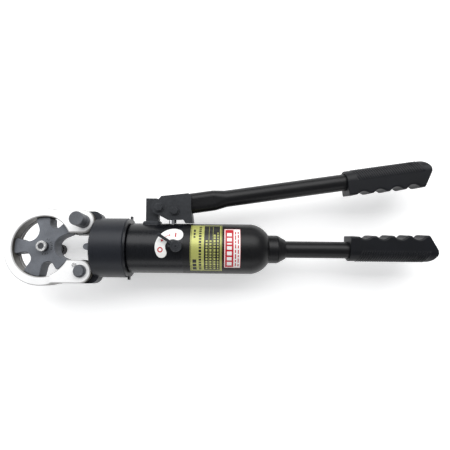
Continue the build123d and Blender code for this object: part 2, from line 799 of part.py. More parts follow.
def bladder_profile(shrink):
    """Half outline of the bladder, drawn in by the given amount."""
    start = body_end + rear_spigot_length + 3
    end = reservoir_end + 6
    r_neck = snout_r + bladder_wall - shrink
    r_body = bladder_r - shrink
    shoulder = start + 12
    return [
        (start - (1 if shrink else 0), 0), (start - (1 if shrink else 0), r_neck),
        (shoulder, r_neck), (shoulder + 9 + shrink * 0.4, r_body),
        (end - 10 - shrink * 0.4, r_body), (end - shrink, r_body - 10), (end - shrink, 0)]


def make_bladder():
    """Rubber bag that holds the oil."""
    bag = turned_x(bladder_profile(0)) - turned_x(bladder_profile(bladder_wall))
    snout_start = body_end + rear_spigot_length
    return bag - rod_x(snout_r, snout_start, snout_start + snout_length)


def make_bladder_clamp():
    """Band that holds the bladder on the snout."""
    start = body_end + rear_spigot_length + 7
    band = rod_x(snout_r + bladder_wall + 1.2, start, start + 6)
    band += block(start, start + 6, snout_r + 1, snout_r + 8, -3, 3)
    return band - rod_x(snout_r + bladder_wall, start - 1, start + 7)


def make_strainer():
    """Fine mesh cup on the end of the suction snout."""
    start = body_end + rear_spigot_length + snout_length
    centre = passage_y
    cup = rod_x(5.0, start, start + 5, centre) - rod_x(4.1, start - 1, start + 4.2, centre)
    for n in range(8):
        y, z = polar(4.5, n * 45)
        cup -= Pos(start + 2, centre + y, z) * Box(1.6, 1.8, 1.8)
    return cup


def make_handle_socket():
    """Tapered collar between the reservoir's neck and the handle tube."""
    return turned_x([
        (neck_end, tube_r), (neck_end, neck_r - 1.2), (neck_end + 1.2, neck_r - 0.4),
        (taper_end, tube_r + 1.4), (taper_end, tube_r)])


def make_handle_tube():
    """Steel tube of the lower handle."""
    start = dome_end - 3
    tube = rod_x(tube_r, start, grip_end - 8)
    return tube - rod_x(tube_r - tube_wall, start - 1, grip_end)


def grip_side(length, pitch):
    """Side view of a grip along X from 0, finger grooves on the +Y side."""
    first = pitch * 0.84
    lower = -grip_belly
    end_crest = length - 12.0
    top = grip_crest
    face = make_face(Wire([
        Line((0, lower), (0, top - 1.8)),
        Line((0, top - 1.8), (first, top - 1.0)),
        Line((first, top - 1.0), (first + pitch, top)),
        Line((first + pitch, top), (end_crest, top + 1.0)),
        Line((end_crest, top + 1.0), (length - 1.0, 3.0)),
        ThreePointArc((length - 1.0, 3.0), (length, -3.0), (length - 2.2, -8.0)),
        ThreePointArc((length - 2.2, -8.0), (length - 5.4, lower + 2.6), (length - 10.0, lower)),
        Line((length - 10.0, lower), (0, lower)),
    ]))
    half_chord = grip_groove_width / 2
    scoop_r = (half_chord ** 2 + grip_groove_depth ** 2) / (2 * grip_groove_depth)
    for n in range(4):
        face -= Pos(first + n * pitch, top - grip_groove_depth + scoop_r) * Circle(scoop_r)
    corners = [
        v for v in face.vertices()
        if v.Y > top - 2.5 and first - pitch / 2 < v.X < end_crest - 4
    ]
    return fillet(corners, grip_crest_r)


def grip_section(grow):
    """End view of a grip: round below the tube, flat-sided above it."""
    half = grip_width / 2 + grow
    top = grip_crest + 10
    return make_face(Wire([
        Line((0, half), (top, half)),
        Line((top, half), (top, -half)),
        Line((top, -half), (0, -half)),
        ThreePointArc((0, -half), (-grip_belly - grow, 0), (0, half)),
    ]))


def make_grip(length, pitch):
    """Rubber grip along X from 0, with finger grooves above and slanting ribs below."""
    across = Plane(origin=(-1, 0, 0), x_dir=(0, 1, 0), z_dir=(1, 0, 0))
    body = plate_z(grip_side(length, pitch), -grip_width / 2, grip_width / 2)
    body &= extrude(across * grip_section(0), amount=length + 2, dir=(1, 0, 0))
    upper = [
        edge for edge in body.edges()
        if abs(abs(edge.center().Z) - grip_width / 2) < 0.01
        and min((edge @ 0).Y, (edge @ 1).Y) > grip_crest - grip_groove_depth
    ]
    body = fillet(upper, grip_edge_r)
    band = extrude(across * grip_section(grip_rib_height), amount=length, dir=(1, 0, 0))
    band -= extrude(across * grip_section(-1.0), amount=length, dir=(1, 0, 0))
    span = length - 27
    ribs = []
    for n in range(grip_rib_count):
        x = 13 + n * span / (grip_rib_count - 1)
        slab = Pos(x, -8.5, 0) * Rot(0, 0, -grip_rib_slant) * Box(grip_rib_width, 22, 40)
        ribs.append(band & slab & block(-5, length, -40, -0.5, -40, 40))
    body = body.fuse(*ribs)
    return body - rod_x(tube_r, -1, length - 8)


def make_handle_grip():
    """Grip of the lower handle, finger grooves towards the lever."""
    return Pos(grip_start, 0, 0) * make_grip(grip_end - grip_start, grip_groove_pitch)


# ---- pump lever -------------------------------------------------------------------------------
def post_outline():
    """Side view of the fixed post."""
    foot_y = body_r - 6
    shape = make_face(Polyline(
        (post_left, foot_y), (post_left, post_top), (pivot_x - 4, post_top),
        (pivot_x + 1.5, post_top - 4), (pivot_x + 1.5, pivot_y), (post_right - 1, body_r + 9),
        (post_right, foot_y), close=True))
    return shape + Pos(pivot_x, pivot_y) * Circle(post_eye_r)


def make_pivot_post():
    """Fixed post that carries the lever's pivot."""
    post = plate_z(post_outline(), -post_half, post_half)
    saddle = block(post_left - 3.4, post_right + 1.6, body_r - 13, body_r + 3.0, -11, 11)
    saddle = chamfer(saddle.edges().filter_by(Axis.Y), 3)
    saddle = chamfer(saddle.edges().group_by(Axis.Y)[-1], 1.6)
    post += saddle
    post -= rod_x(body_r, post_left - 20, post_right + 20)
    post -= rod_z(link_pin_r + pin_fit, -post_half - 1, post_half + 1, pivot_x, pivot_y)
    return post


def bracket_outline():
    """Side view of the lever bracket."""
    corners = [
        (2.9, 14.8), (38.0, 18.7), (41.4, 16.4), (41.6, -1.3), (44.2, -20.6), (34.6, -20.6),
        (31.5, -15.6), (11.9, -16.6), (-7.1, -6.8), (-9.0, 0.0), (-2.2, 9.3)]
    return make_face(Polyline(*[(pivot_x + x, pivot_y + y) for x, y in corners], close=True))


def make_lever_bracket():
    """Forked bracket between the post, the plunger and the lever tube."""
    bracket = plate_z(bracket_outline(), -fork_half, fork_half)
    upright = bracket.edges().filter_by(Axis.Z)
    bracket = fillet(upright, 1.2)
    bracket += Pos(pivot_x, pivot_y, 0) * Cylinder(post_eye_r, 2 * fork_half)
    slot_end = link_slot_x + plunger_head_width / 2 + 3.0
    roof = pivot_y + 13.0
    bracket -= block(pivot_x - 30, slot_end, 0, roof, -fork_slot_half, fork_slot_half)
    bracket -= block(pivot_x - 30, pivot_x + 5, 0, roof + 20, -fork_slot_half, fork_slot_half)
    for x, y in ((pivot_x, pivot_y), (link_x, link_y)):
        bracket -= rod_z(link_pin_r, -fork_half - 1, fork_half + 1, x, y)
    bracket -= rod_x(body_r + 0.3, pivot_x, pivot_x + 60)
    socket = lever_section(0, lever_flat_height, lever_flat_width)
    bracket -= lever_place(extrude(socket, amount=30, dir=(1, 0, 0)))
    inner_drop = 2 * tube_wall + 0.2
    plug = lever_section(0, lever_flat_height - inner_drop, lever_flat_width - inner_drop)
    return bracket + lever_place(extrude(plug, amount=15, dir=(1, 0, 0)))


def lever_place(shape):
    """Put a shape drawn along X from 0 onto the lever's line."""
    return Pos(lever_start_x, lever_start_y, 0) * Rot(0, 0, lever_angle) * shape


def oval(height, width):
    """Rounded outline of the flattened tube."""
    return RectangleRounded(height, width, min(height, width) / 2 - 0.3)


def lever_section(x, height, width):
    """The oval set across the tube at a distance along it."""
    return Plane(origin=(x, 0, 0), x_dir=(0, 1, 0), z_dir=(1, 0, 0)) * oval(height, width)


def tube_skin(inset):
    """Flattened end blending into the round tube, drawn in by the wall."""
    r = tube_r - inset
    flat_h = lever_flat_height - 2 * inset
    flat_w = lever_flat_width - 2 * inset
    flat = extrude(lever_section(0, flat_h, flat_w), amount=lever_flat_length, dir=(1, 0, 0))
    blend = loft([
        lever_section(lever_flat_length, flat_h, flat_w),
        lever_section(lever_blend_end, 2 * r, 2 * r)], ruled=True)
    return flat + blend + rod_x(r, lever_blend_end, lever_tube_length)


def make_lever_tube():
    """Tube of the pump lever, pressed flat at the bracket end."""
    tube = tube_skin(0)
    bore = tube_skin(tube_wall)
    return lever_place(tube - bore)


def make_lever_grip():
    """Grip of the pump lever, finger grooves towards the lower handle."""
    grip = make_grip(lever_grip_length, lever_groove_pitch)
    return lever_place(Pos(lever_grip_start, 0, 0) * Rot(180, 0, 0) * grip)


def make_bracket_pins():
    """Pivot pin and link pin, drilled and tapped at both ends."""
    pins = []
    for x, y in ((pivot_x, pivot_y), (link_x, link_y)):
        pin = rod_z(link_pin_r, -fork_half, fork_half, x, y)
        for z0, z1 in ((-fork_half - 1, -fork_half + 7), (fork_half - 7, fork_half + 1)):
            pin -= rod_z(screw_shank_r, z0, z1, x, y)
        pins.append(pin)
    return pins


def make_bracket_washers():
    """Washers over the ends of the two pins."""
    rings = []
    for x, y in ((pivot_x, pivot_y), (link_x, link_y)):
        for low in (-fork_half - washer_thickness, fork_half):
            ring = rod_z(washer_r, low, low + washer_thickness, x, y)
            rings.append(ring - rod_z(screw_shank_r, low - 1, low + 3, x, y))
    return rings


def make_bracket_screws():
    """Hexagon screws in the ends of the two pins."""
    screws = []
    base = fork_half + washer_thickness
    for x, y in ((pivot_x, pivot_y), (link_x, link_y)):
        head = hex_prism_z(2 * screw_head_r, base, base + screw_head_height, 0, 0)
        dome = Pos(0, 0, base + screw_head_height - 9.0) * Sphere(10.0)
        screw = (head & dome) + rod_z(screw_shank_r, fork_half - 6, base)
        screws.append(Pos(x, y, 0) * screw)
        screws.append(Pos(x, y, 0) * Rot(180, 0, 0) * screw)
    return screws


def make_plunger():
    """Pump plunger with a slotted head for the link pin."""
    plunger = rod_y(plunger_r, plunger_bottom, plunger_neck_top + 2, plunger_x)
    low = plunger_neck_top
    high = link_y + 8.6
    half_w = plunger_head_width / 2
    head = block(link_slot_x - half_w, link_slot_x + half_w, low, high,
                 -plunger_head_half, plunger_head_half)
    head = fillet(head.edges().filter_by(Axis.Z), 3.0)
    plunger += head
    slot_r = link_pin_r + link_slot_clearance
    slot = SlotOverall(2 * slot_r + 2 * link_slot_play, 2 * slot_r)
    plunger -= Pos(link_slot_x, link_y, 0) * plate_z(slot, -10, 10)
    return plunger


# ---- assembly ---------------------------------------------------------------------------------
head_makers = {
    "yoke": make_yoke,
    "die_wheel": make_die_wheel,
    "detent_balls": make_detent_balls,
    "detent_springs": make_detent_springs,
    "wheel_axle": make_wheel_axle,
    "axle_spacer": make_axle_spacer,
    "axle_nut": make_axle_nut,
    "axle_washer": make_axle_washer,
    "knob_tube": make_knob_tube,
    "axle_knob": make_axle_knob,
    "latch_pin": make_latch_pin,
    "hinge_pin": make_hinge_pin,
    "hinge_collar": make_hinge_collar,
    "hinge_clip": make_hinge_clip,
    "hinge_lock_screw": make_lock_screw,
    "nose_sleeve": make_nose_sleeve,
    "swivel_wire": make_swivel_wire,
    "swivel_ring": make_swivel_ring,
    "ram": make_ram,
    "piston_seal": make_piston_seal,
    "backup_ring": make_backup_ring,
    "punch": make_punch,
    "return_spring": make_return_spring,
}
body_makers = {
    "pump_body": make_pump_body,
    "plunger_seal": make_plunger_seal,
    "suction_ball": make_suction_ball,
    "suction_seat": make_suction_seat,
    "delivery_ball": make_delivery_ball,
    "delivery_spring": make_delivery_spring,
    "delivery_plug": make_delivery_plug,
    "relief_ball": make_relief_ball,
    "relief_spring": make_relief_spring,
    "relief_screw": make_relief_screw,
    "release_ball": make_release_ball,
    "release_spindle": make_release_spindle,
    "release_seal": make_release_seal,
    "release_lever": make_release_lever,
    "release_screw": make_release_screw,
    "release_plate": make_release_plate,
    "rating_plate": lambda: plate_wrap(*rating_span),
    "caution_plate": lambda: plate_wrap(*caution_span),
    "reservoir_shell": make_reservoir,
    "reservoir_adapter": make_reservoir_adapter,
    "reservoir_seal": make_reservoir_seal,
    "oil_bladder": make_bladder,
    "bladder_clamp": make_bladder_clamp,
    "suction_strainer": make_strainer,
    "handle_socket": make_handle_socket,
    "handle_tube": make_handle_tube,
    "handle_grip": make_handle_grip,
    "pivot_post": make_pivot_post,
    "lever_bracket": make_lever_bracket,
    "lever_tube": make_lever_tube,
    "lever_grip": make_lever_grip,
    "bracket_pins": make_bracket_pins,
    "bracket_washers": make_bracket_washers,
    "bracket_screws": make_bracket_screws,
    "pump_plunger": make_plunger,
}


def as_solids(shape):
    """The solids of a shape or of a list of shapes."""
    if isinstance(shape, list):
        return [solid for piece in shape for solid in piece.solids()]
    return list(shape.solids())


def build_all():
    """Every node in the working frame, with the head pieces swivelled."""
    nodes = {}
    for name, maker in head_makers.items():
        nodes[name] = [Rot(-head_turn, 0, 0) * solid for solid in as_solids(maker())]
    for name, maker in body_makers.items():
        nodes[name] = as_solids(maker())
    return nodes


os.makedirs("parts", exist_ok=True)
nodes = build_all()
boxes = [solid.bounding_box() for solids in nodes.values() for solid in solids]
shift_x = -(min(b.min.X for b in boxes) + max(b.max.X for b in boxes)) / 2
shift_y = -(min(b.min.Y for b in boxes) + max(b.max.Y for b in boxes)) / 2
shift_z = -min(b.min.Z for b in boxes)
print("shift", shift_x, shift_y, shift_z)
for name, solids in nodes.items():
    placed = [Pos(shift_x, shift_y, shift_z) * solid for solid in solids]
    shape = placed[0] if len(placed) == 1 else Compound(placed)
    export_step(shape, f"parts/{name}.step")
    print(name, len(placed), round(sum(s.volume for s in placed), 1))
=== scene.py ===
import bpy
import bmesh
import math
from mathutils import Vector, Matrix


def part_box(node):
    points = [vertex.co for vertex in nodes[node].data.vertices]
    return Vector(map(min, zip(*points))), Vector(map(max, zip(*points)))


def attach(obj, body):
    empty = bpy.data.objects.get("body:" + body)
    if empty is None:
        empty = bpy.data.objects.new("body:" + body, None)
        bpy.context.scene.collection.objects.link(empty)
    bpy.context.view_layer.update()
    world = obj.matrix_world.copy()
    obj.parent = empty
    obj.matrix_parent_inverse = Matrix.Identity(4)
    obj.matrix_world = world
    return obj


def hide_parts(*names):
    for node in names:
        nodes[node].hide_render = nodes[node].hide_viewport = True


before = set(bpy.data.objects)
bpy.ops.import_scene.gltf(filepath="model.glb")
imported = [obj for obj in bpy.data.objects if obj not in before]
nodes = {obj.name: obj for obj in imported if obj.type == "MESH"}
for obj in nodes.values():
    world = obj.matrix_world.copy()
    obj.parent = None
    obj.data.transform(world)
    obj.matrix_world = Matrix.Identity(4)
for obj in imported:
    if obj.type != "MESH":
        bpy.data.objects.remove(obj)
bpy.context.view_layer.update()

# ---- where things are, read from the frame ----------------------------------------------------
MM = 0.001
res_low, res_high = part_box("reservoir_shell")
AXIS_Y = (res_low.y + res_high.y) / 2
AXIS_Z = (res_low.z + res_high.z) / 2
BODY_R = (res_high.z - res_low.z) / 2
BODY_END = 184.5                         # from the die wheel's centre to the reservoir, mm
WHEEL_X = res_low.x - BODY_END * MM
HEAD_TURN = math.radians(9.0)
LEVER_START = (192.5, 60.0, 0)           # where the lever's tube starts, mm
LEVER_ANGLE = 8.5                        # between the lever and the tool's axis, degrees


def at(x, y, z):
    """A point given in millimetres from the die wheel's centre, as a vector in the row frame."""
    return Vector((WHEEL_X + x * MM, AXIS_Y + y * MM, AXIS_Z + z * MM))


HEAD = Matrix.Translation(at(0, 0, 0)) @ Matrix.Rotation(-HEAD_TURN, 4, "X")


# ---- materials --------------------------------------------------------------------------------
def srgb(r, g, b):
    """Linear colour from 0 to 255 values."""
    out = []
    for v in (r, g, b):
        v /= 255
        out.append(v / 12.92 if v <= 0.04045 else ((v + 0.055) / 1.055) ** 2.4)
    return (*out, 1.0)


def node(tree, kind, **values):
    """A new shader node with its settings."""
    made = tree.nodes.new(kind)
    for key, value in values.items():
        setattr(made, key, value)
    return made


EDGE_WEAR_GLINT_R = 0.0006                     # how far wear and painted highlight reach in across sharp edges, m
PATCH_SHARE = 0.45                       # share of the broad patches in the colour, against the grain


def surface(name, low, high, metallic, rough, grain, stretch, patch, bump, depth,
            edge_wear_and_glint=None, specular=0.5, painted_wall_shade=None):
    """A finish whose colour and roughness vary between two values. edge_wear_and_glint is the
    colour of edges, lighter for wear and for a painted highlight, painted_wall_shade the two
    colours of painted shade on faces that do not look along the head's axis."""
    mat = bpy.data.materials.new(name)
    mat.use_nodes = True
    t = mat.node_tree
    bsdf = t.nodes["Principled BSDF"]
    link = t.links.new
    coord = node(t, "ShaderNodeTexCoord")
    mapping = node(t, "ShaderNodeMapping")
    mapping.inputs["Scale"].default_value = stretch
    link(coord.outputs["Object"], mapping.inputs["Vector"])
    fine = node(t, "ShaderNodeTexNoise")
    fine.inputs["Scale"].default_value = grain
    fine.inputs["Detail"].default_value = 6.0
    fine.inputs["Roughness"].default_value = 0.65
    link(mapping.outputs["Vector"], fine.inputs["Vector"])
    broad = node(t, "ShaderNodeTexNoise")
    broad.inputs["Scale"].default_value = patch
    broad.inputs["Detail"].default_value = 3.0
    link(coord.outputs["Object"], broad.inputs["Vector"])
    both = node(t, "ShaderNodeMix", data_type="FLOAT")
    both.inputs[0].default_value = PATCH_SHARE
    link(fine.outputs["Fac"], both.inputs[2])
    link(broad.outputs["Fac"], both.inputs[3])
    spread = node(t, "ShaderNodeMapRange")
    spread.inputs["From Min"].default_value = 0.36
    spread.inputs["From Max"].default_value = 0.64
    link(both.outputs[0], spread.inputs["Value"])
    colour = node(t, "ShaderNodeMix", data_type="RGBA")
    colour.inputs[6].default_value = low
    colour.inputs[7].default_value = high
    link(spread.outputs["Result"], colour.inputs[0])
    last = colour.outputs[2]
    # painted highlight and wear: along sharp edges, found where the bevel normal turns from the face's
    # normal, the colour is mixed toward a lighter one
    if edge_wear_and_glint:
        bevel = node(t, "ShaderNodeBevel", samples=6)
        bevel.inputs["Radius"].default_value = EDGE_WEAR_GLINT_R
        geometry = node(t, "ShaderNodeNewGeometry")
        dot = node(t, "ShaderNodeVectorMath", operation="DOT_PRODUCT")
        link(bevel.outputs["Normal"], dot.inputs[0])
        link(geometry.outputs["Normal"], dot.inputs[1])
        edge_wear_glint_mask = node(t, "ShaderNodeMapRange")
        edge_wear_glint_mask.inputs["From Min"].default_value = 0.985
        edge_wear_glint_mask.inputs["From Max"].default_value = 0.88
        link(dot.outputs["Value"], edge_wear_glint_mask.inputs["Value"])
        edge_wear_glint_amount = node(t, "ShaderNodeMath", operation="MULTIPLY")
        link(edge_wear_glint_mask.outputs["Result"], edge_wear_glint_amount.inputs[0])
        link(spread.outputs["Result"], edge_wear_glint_amount.inputs[1])
        edge_wear_glint_mix = node(t, "ShaderNodeMix", data_type="RGBA")
        link(edge_wear_glint_amount.outputs["Value"], edge_wear_glint_mix.inputs[0])
        link(last, edge_wear_glint_mix.inputs[6])
        edge_wear_glint_mix.inputs[7].default_value = edge_wear_and_glint
        last = edge_wear_glint_mix.outputs[2]
    if painted_wall_shade:
        # painted shade: faces that look along the head's axis keep the ground steel colour, faces
        # turned away from it are mixed toward two darker colours
        wall_geometry = node(t, "ShaderNodeNewGeometry")
        facing = node(t, "ShaderNodeVectorMath", operation="DOT_PRODUCT")
        facing.inputs[1].default_value = HEAD.col[2].to_3d()
        link(wall_geometry.outputs["Normal"], facing.inputs[0])
        squared = node(t, "ShaderNodeMath", operation="MULTIPLY")
        link(facing.outputs["Value"], squared.inputs[0])
        link(facing.outputs["Value"], squared.inputs[1])
        shade_mix = node(t, "ShaderNodeMix", data_type="RGBA")
        link(squared.outputs["Value"], shade_mix.inputs[0])
        shade_colour = node(t, "ShaderNodeMix", data_type="RGBA")
        link(spread.outputs["Result"], shade_colour.inputs[0])
        shade_colour.inputs[6].default_value = painted_wall_shade[0]
        shade_colour.inputs[7].default_value = painted_wall_shade[1]
        link(shade_colour.outputs[2], shade_mix.inputs[6])
        link(last, shade_mix.inputs[7])
        last = shade_mix.outputs[2]
    link(last, bsdf.inputs["Base Color"])
    gloss = node(t, "ShaderNodeMapRange")
    gloss.inputs["From Min"].default_value = 0.3
    gloss.inputs["From Max"].default_value = 0.7
    gloss.inputs["To Min"].default_value = rough[0]
    gloss.inputs["To Max"].default_value = rough[1]
    link(fine.outputs["Fac"], gloss.inputs["Value"])
    link(gloss.outputs["Result"], bsdf.inputs["Roughness"])
    relief = node(t, "ShaderNodeBump")
    relief.inputs["Strength"].default_value = bump
    relief.inputs["Distance"].default_value = depth
    link(fine.outputs["Fac"], relief.inputs["Height"])
    link(relief.outputs["Normal"], bsdf.inputs["Normal"])
    bsdf.inputs["Metallic"].default_value = metallic
    bsdf.inputs["Specular IOR Level"].default_value = specular
    return mat


M = {
    "polished": surface("ground_steel_yoke", srgb(236, 236, 236), srgb(250, 250, 250), 0.1,
                        (0.28, 0.42), 900, (1, 1, 1), 30, 0.06, 0.00003,
                        # darker colours of painted shade on the yoke's side faces
                        painted_wall_shade=(srgb(64, 62, 58), srgb(104, 101, 94))),
    "phosphate": surface("phosphated_steel", srgb(84, 87, 93), srgb(108, 112, 119), 0.15,
                         (0.45, 0.65), 900, (1, 1, 1), 60, 0.3, 0.00006, srgb(176, 180, 188)),
    "pin": surface("dark_phosphated_pin", srgb(70, 72, 77), srgb(92, 95, 100), 0.15,
                   (0.42, 0.6), 700, (1, 1, 1), 60, 0.25, 0.00006, srgb(146, 149, 156)),
    "stem": surface("dark_stem", srgb(38, 39, 43), srgb(60, 62, 67), 0.15,
                    (0.4, 0.55), 700, (1, 1, 1), 60, 0.2, 0.00005, srgb(100, 103, 108)),
    "bright": surface("bright_steel", srgb(196, 196, 196), srgb(238, 238, 238), 0.6,
                      (0.18, 0.34), 600, (1, 1, 4), 40, 0.08, 0.00003),
    "chrome": surface("hard_chrome", srgb(225, 227, 230), srgb(242, 243, 245), 0.8,
                      (0.08, 0.16), 600, (1, 6, 1), 30, 0.03, 0.00002),
    "oxide": surface("turned_black_oxide", srgb(19, 21, 26), srgb(33, 36, 43), 0.2,
                     (0.36, 0.50), 260, (9, 1, 1), 12, 0.14, 0.00005, srgb(84, 88, 98), specular=0.34),
    "body": surface("black_oxide_gloss", srgb(12, 13, 16), srgb(23, 25, 30), 0.2,
                    (0.24, 0.38), 240, (9, 1, 1), 10, 0.12, 0.00004, srgb(70, 73, 80), specular=0.34),
    "paint": surface("satin_black_paint", srgb(11, 11, 13), srgb(20, 20, 22), 0.0,
                     (0.32, 0.46), 500, (1, 1, 1), 18, 0.22, 0.00006, srgb(52, 52, 54), specular=0.28),
    "grey": surface("grey_black_paint", srgb(36, 38, 41), srgb(52, 54, 58), 0.0,
                    (0.42, 0.58), 480, (1, 1, 1), 40, 0.3, 0.00007, srgb(96, 98, 104), specular=0.3),
    "rubber": surface("moulded_rubber", srgb(7, 9, 13), srgb(15, 17, 23), 0.0,
                      (0.40, 0.55), 1400, (1, 1, 1), 30, 0.35, 0.00006, specular=0.3),
    "seal": surface("seal_rubber", srgb(22, 22, 22), srgb(34, 34, 34), 0.0,
                    (0.5, 0.7), 900, (1, 1, 1), 40, 0.3, 0.00006),
    "spring": surface("spring_steel", srgb(120, 120, 122), srgb(160, 160, 162), 0.6,
                      (0.25, 0.45), 700, (1, 1, 1), 60, 0.12, 0.00004),
    "gold": surface("gold_plate", srgb(150, 153, 78), srgb(188, 190, 112), 0.25,
                    (0.30, 0.44), 700, (1, 8, 1), 25, 0.06, 0.00002),
    "red": surface("red_print", srgb(172, 14, 30), srgb(192, 24, 38), 0.0,
                   (0.35, 0.5), 600, (1, 1, 1), 30, 0.08, 0.00002),
    "white": surface("white_print", srgb(222, 222, 220), srgb(240, 240, 238), 0.0,
                     (0.3, 0.45), 600, (1, 1, 1), 30, 0.06, 0.00002),
    "ink": surface("black_print", srgb(20, 20, 18), srgb(32, 32, 28), 0.0,
                   (0.3, 0.45), 600, (1, 1, 1), 30, 0.06, 0.00002),
    "plastic": surface("black_plastic", srgb(9, 9, 11), srgb(18, 18, 20), 0.0,
                       (0.4, 0.55), 900, (1, 1, 1), 30, 0.25, 0.00005, srgb(50, 50, 52), specular=0.3),
    "nylon": surface("hard_nylon", srgb(205, 200, 186), srgb(222, 217, 204), 0.0,
                     (0.4, 0.5), 700, (1, 1, 1), 30, 0.15, 0.00004),
}

FINISH = {
    "polished": ["yoke"],
    "phosphate": ["die_wheel", "punch"],
    "pin": ["latch_pin", "hinge_pin", "hinge_collar"],
    "stem": ["axle_spacer", "wheel_axle", "knob_tube"],
    "bright": ["axle_nut", "hinge_lock_screw", "detent_balls", "suction_ball", "delivery_ball",
               "relief_ball", "release_ball", "axle_washer", "suction_seat", "delivery_plug"],
    "chrome": ["pump_plunger", "ram"],
    "oxide": ["nose_sleeve"],
    "body": ["pump_body", "swivel_ring"],
    "paint": ["reservoir_shell", "handle_socket", "handle_tube", "lever_tube"],
    "grey": ["pivot_post", "lever_bracket", "bracket_washers", "bracket_screws",
             "release_lever", "release_screw"],
    "rubber": ["handle_grip", "lever_grip"],
    "seal": ["piston_seal", "plunger_seal", "reservoir_seal", "release_seal", "oil_bladder"],
    "spring": ["detent_springs", "return_spring", "delivery_spring", "relief_spring",
               "hinge_clip", "swivel_wire", "bladder_clamp", "release_spindle", "bracket_pins",
               "relief_screw", "reservoir_adapter", "suction_strainer"],
    "plastic": ["axle_knob"],
    "nylon": ["backup_ring"],
    "gold": ["rating_plate"],
    "red": ["caution_plate"],
    "white": ["release_plate"],
}
for finish, names in FINISH.items():
    for name in names:
        mesh = nodes[name].data
        mesh.materials.clear()
        mesh.materials.append(M[finish])


# ---- printed marks, wrapped round the body ----------------------------------------------------
def mesh_piece(name, verts, faces, material, body):
    """A piece made from points and faces, riding on a body."""
    mesh = bpy.data.meshes.new(name)
    mesh.from_pydata(verts, [], faces)
    mesh.validate()
    mesh.materials.append(M[material])
    obj = bpy.data.objects.new(name, mesh)
    bpy.context.scene.collection.objects.link(obj)
    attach(obj, body)
    return obj


LONGEST_EDGE = 1.8                       # of a mark's triangles, so that it follows the curve, mm
PRINT_THICKNESS = 0.00004                # m


def wrapped(name, shapes, lift, material):
    """Thin patches on the pump's round surface. A shape is a list of (x, y) points in mm from the
    wheel's centre, seen from the release lever's side, y being measured round the surface."""
    verts, faces = [], []
    r0 = BODY_R / MM + lift
    for outline in shapes:
        bm = bmesh.new()
        loop = [bm.verts.new((x, y, 0)) for x, y in outline]
        bm.faces.new(loop)
        bmesh.ops.triangulate(bm, faces=bm.faces[:])
        for _ in range(9):
            long = [e for e in bm.edges if e.calc_length() > LONGEST_EDGE]
            if not long:
                break
            bmesh.ops.subdivide_edges(bm, edges=long, cuts=1)
            bmesh.ops.triangulate(bm, faces=bm.faces[:])
        base = len(verts)
        bm.verts.index_update()
        for v in bm.verts:
            a = v.co.y / (BODY_R / MM)
            verts.append(at(v.co.x, r0 * math.sin(a), r0 * math.cos(a)))
        for f in bm.faces:
            faces.append([base + v.index for v in f.verts])
        bm.free()
    obj = mesh_piece(name, verts, faces, material, "pump")
    thick = obj.modifiers.new("thickness", "SOLIDIFY")
    thick.thickness = PRINT_THICKNESS
    thick.offset = -1


def bar(x0, x1, y0, y1):
    """A rectangle."""
    return [(x0, y0), (x1, y0), (x1, y1), (x0, y1)]


def arc_points(cx, cy, r, a0, a1, count=24):
    """Points along an arc from angle a0 to a1, in degrees."""
    return [(cx + r * math.cos(math.radians(a0 + (a1 - a0) * n / count)),
             cy + r * math.sin(math.radians(a0 + (a1 - a0) * n / count)))
            for n in range(count + 1)]


def runs(start, lengths, gap):
    """The two ends of each length in a row of them, a gap apart."""
    out, y = [], start
    for length in lengths:
        out.append((y, y + length))
        y += length + gap
    return out


LABEL = 0.35 + 0.05                      # height of the first layer of print over the body, mm
LAYER = 0.04                             # and of each layer over the one below it
ARC = BODY_R / MM * math.pi / 180        # millimetres round the body for one degree
R0, R1 = -54 * ARC, 69 * ARC             # lower and upper edge of the rating plate
C0, C1 = -42 * ARC, 53 * ARC             # and of the caution plate


def row(x0, x1, start, lengths, gap=1.4):
    """One line of blocks that stands in for a line of lettering."""
    return [bar(x0, x1, y0, y1) for y0, y1 in runs(start, lengths, gap)]


# block lengths of the rows, in mm
short = [2.6, 1.8, 3.0, 2.2, 2.8, 1.9, 2.4, 3.1]
wrapped("plate_frame", [
    bar(195.3, 233.7, R0 + 0.8, R0 + 1.4), bar(195.3, 233.7, R1 - 1.4, R1 - 0.8),
    bar(195.3, 195.8, R0 + 1.4, R1 - 1.4), bar(233.2, 233.7, R0 + 1.4, R1 - 1.4),
], LABEL, "ink")
wrapped("plate_panel", [bar(212.0, 231.8, R0 + 2.2, R1 - 2.6)], LABEL, "ink")
wrapped("plate_rows_dark",
        row(197.6, 202.4, R0 + 2.6, [5.0, 4.2, 4.8], 1.4)
        + row(205.4, 208.6, R0 + 3.0, short + short[:4] + short[2:7], 1.3)
        + row(198.6, 201.0, R0 + 47.0, [2.4, 3.2, 4.2], 1.6),
        LABEL, "ink")
wrapped("plate_rows_gold",
        row(214.0, 216.4, R0 + 4.0, short + short[1:4], 1.3)
        + row(219.0, 221.4, R0 + 4.0, short + short[3:6], 1.3)
        + row(224.0, 226.4, R0 + 4.0, short + short[:5], 1.3)
        + row(228.4, 230.2, R0 + 4.0, short + short[:6], 1.3)
        + [bar(218.0, 218.4, R0 + 3.2, R1 - 4.0), bar(223.0, 223.4, R0 + 3.2, R1 - 4.0)],
        LABEL + LAYER, "gold")
wrapped("caution_border", [bar(237.6, 257.4, C0 + 0.5, C1 - 0.5)], LABEL, "white")
wrapped("caution_field", [bar(238.6, 249.0, C0 + 1.6, C1 - 1.6)], LABEL + LAYER, "red")
wrapped("caution_rows", row(240.8, 246.8, C0 + 4.4, [5.2, 4.4, 4.8, 4.2, 1.8, 4.6, 5.0], 2.2),
        LABEL + 2 * LAYER, "white")
